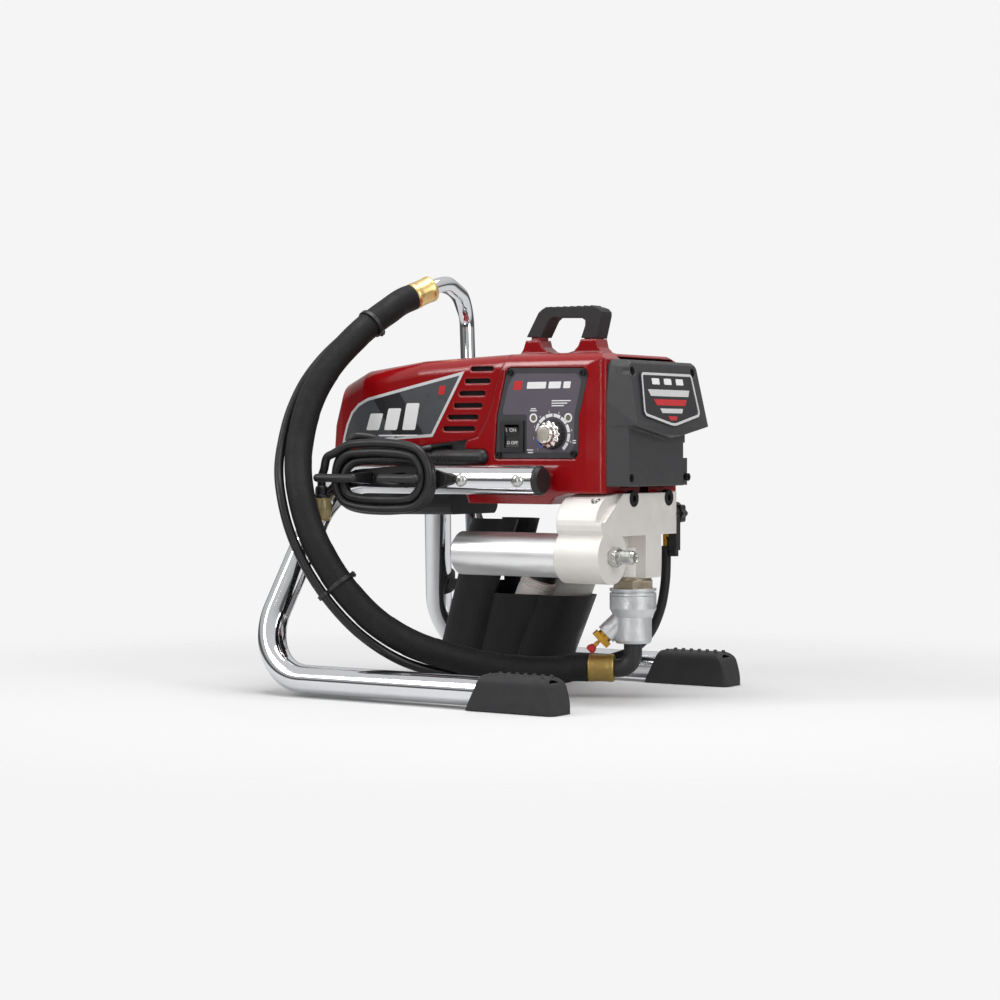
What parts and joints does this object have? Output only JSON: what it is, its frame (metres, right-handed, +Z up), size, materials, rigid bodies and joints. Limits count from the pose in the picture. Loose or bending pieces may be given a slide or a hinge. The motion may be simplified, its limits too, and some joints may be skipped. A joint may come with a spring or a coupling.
{
  "type": "airless paint sprayer",
  "caption": "Electric airless paint sprayer on a bent tube frame, with motor, gear housing, piston pump, filter, suction hose, drip cup, carrying handle and wound power cord.",
  "frame": {"origin": "on the floor, below the middle of the sprayer's bounding box", "axes": "+X towards the pump and the outlet, -Y is the side with the control panel and the power cord, +Z is up"},
  "size_m": [0.3966, 0.365, 0.4267],
  "materials": {
    "frame_chrome": "polished chrome plate",
    "foot_rubber": "matte",
    "black_plastic": "satin",
    "zinc_screw": "bright zinc",
    "housing_paint": "gloss red paint",
    "shroud_plastic": "gloss red",
    "grip_rubber": "matte, ribbed",
    "panel_plastic": "fine grained, purple grey",
    "black_screw": "black oxide",
    "switch_plastic": "satin black",
    "knob_plastic": "knurled black with a chrome cap",
    "lamp_lens": "clear lens, unlit",
    "board_green": "circuit board",
    "cover_plastic": "textured dark grey",
    "badge_metal": "silver rim, printed field",
    "cord_rubber": "smooth jacket",
    "motor_steel": "plain",
    "cast_aluminium": "as cast",
    "armature_steel": "laminated steel",
    "bearing_steel": "ground",
    "gear_steel": "hobbed, oiled",
    "rod_chrome": "hard chrome",
    "packing_white": "PTFE and leather",
    "block_aluminium": "satin machined",
    "bowl_aluminium": "bright turned",
    "screen_steel": "woven screen",
    "outlet_steel": "plated",
    "nickel_brass": "nickel plated brass",
    "zinc_ring": "zinc plated",
    "inlet_casting": "rough grey casting",
    "brass": "turned brass",
    "button_red": "satin red",
    "hose_rubber": "wrapped, matte",
    "strainer_grey": "fine mesh",
    "bottle_white": "white body, black cap",
    "cup_plastic": "moulded black",
    "plug_clear": "clear amber with a black collar"
  },
  "bodies": {
    "base": {"right_leg": "frame_chrome", "left_leg": "frame_chrome", "right_foot": "foot_rubber", "left_foot": "foot_rubber", "rail_plugs": "black_plastic", "rail_screws": "zinc_screw", "cord_wrap": "black_plastic", "gear_housing": "housing_paint", "motor_shroud": "shroud_plastic", "belly_pan": "black_plastic", "handle_grip": "grip_rubber", "control_panel": "panel_plastic", "case_screws": "black_screw", "switch_body": "switch_plastic", "status_lamps": "lamp_lens", "control_board": "board_green", "front_cover": "cover_plastic", "badge_plate": "badge_metal", "strain_relief": "cord_rubber", "motor_can": "motor_steel", "motor_end_cap": "cast_aluminium", "bearings": "bearing_steel", "packings": "packing_white", "pump_block": "block_aluminium", "block_bolts": "black_screw", "block_plug": "zinc_screw", "filter_bowl": "bowl_aluminium", "filter_element": "screen_steel", "outlet_fitting": "outlet_steel", "pressure_sensor": "outlet_steel", "cylinder_nut": "nickel_brass", "clamp_ring": "zinc_ring", "inlet_housing": "inlet_casting", "inlet_seat": "bearing_steel", "pusher_body": "brass", "suction_elbow": "black_plastic", "hose_ferrules": "brass", "suction_hose": "hose_rubber", "siphon_tube": "frame_chrome", "inlet_strainer": "strainer_grey", "oil_bottle": "bottle_white", "prime_valve": "black_plastic", "return_fitting": "brass", "return_hose": "hose_rubber", "hose_clips": "black_plastic", "drip_cup": "cup_plastic", "cord_runs": "cord_rubber", "cord_coil": "cord_rubber", "power_plug": "plug_clear"},
    "rocker": {"rocker": "switch_plastic"},
    "knob": {"pressure_knob": "knob_plastic"},
    "armature": {"armature": "armature_steel", "motor_fan": "black_plastic"},
    "reduction": {"reduction_gear": "gear_steel"},
    "crank": {"crank_gear": "gear_steel"},
    "piston": {"slider_yoke": "gear_steel", "piston_rod": "rod_chrome"},
    "prime": {"prime_knob": "black_plastic"},
    "pusher": {"pusher_button": "button_red"},
    "ball": {"inlet_ball": "bearing_steel"}
  },
  "joints": [
    {"name": "crank_spin", "type": "hinge", "parent": "base", "child": "crank", "pos_m": [0.087, 0.004, 0.247], "axis": [1, 0, 0], "continuous": true},
    {"name": "reduction_spin", "type": "hinge", "parent": "base", "child": "reduction", "pos_m": [0.078, 0.02978, 0.28388], "axis": [1, 0, 0], "continuous": true},
    {"name": "armature_spin", "type": "hinge", "parent": "base", "child": "armature", "pos_m": [0, 0, 0.268], "axis": [1, 0, 0], "continuous": true},
    {"name": "piston_slide", "type": "slide", "parent": "base", "child": "piston", "axis": [0, 0, 1], "range_m": [0, 0.024]},
    {"name": "rocker_tilt", "type": "hinge", "parent": "base", "child": "rocker", "pos_m": [0.0575, -0.066, 0.257], "axis": [1, 0, 0], "range_deg": [-16, 0]},
    {"name": "pressure_turn", "type": "hinge", "parent": "base", "child": "knob", "pos_m": [0.104, -0.075, 0.259], "axis": [0, 1, 0], "range_deg": [0, 270]},
    {"name": "prime_turn", "type": "hinge", "parent": "base", "child": "prime", "pos_m": [0.1645, 0.062, 0.1805], "axis": [0, 1, 0], "range_deg": [0, 90]},
    {"name": "pusher_press", "type": "slide", "parent": "base", "child": "pusher", "axis": [0.5964, 0.4022, 0.6947], "range_m": [0, 0.004], "stiffness_N_per_m": 300, "springref_m": -0.002},
    {"name": "ball_lift", "type": "slide", "parent": "base", "child": "ball", "axis": [0, 0, 1], "range_m": [0, 0.003]}
  ],
  "couplings": [
    {"joint": "reduction_spin", "follows": "crank_spin", "ratio": -3.6154},
    {"joint": "armature_spin", "follows": "crank_spin", "ratio": 15.908}
  ]
}
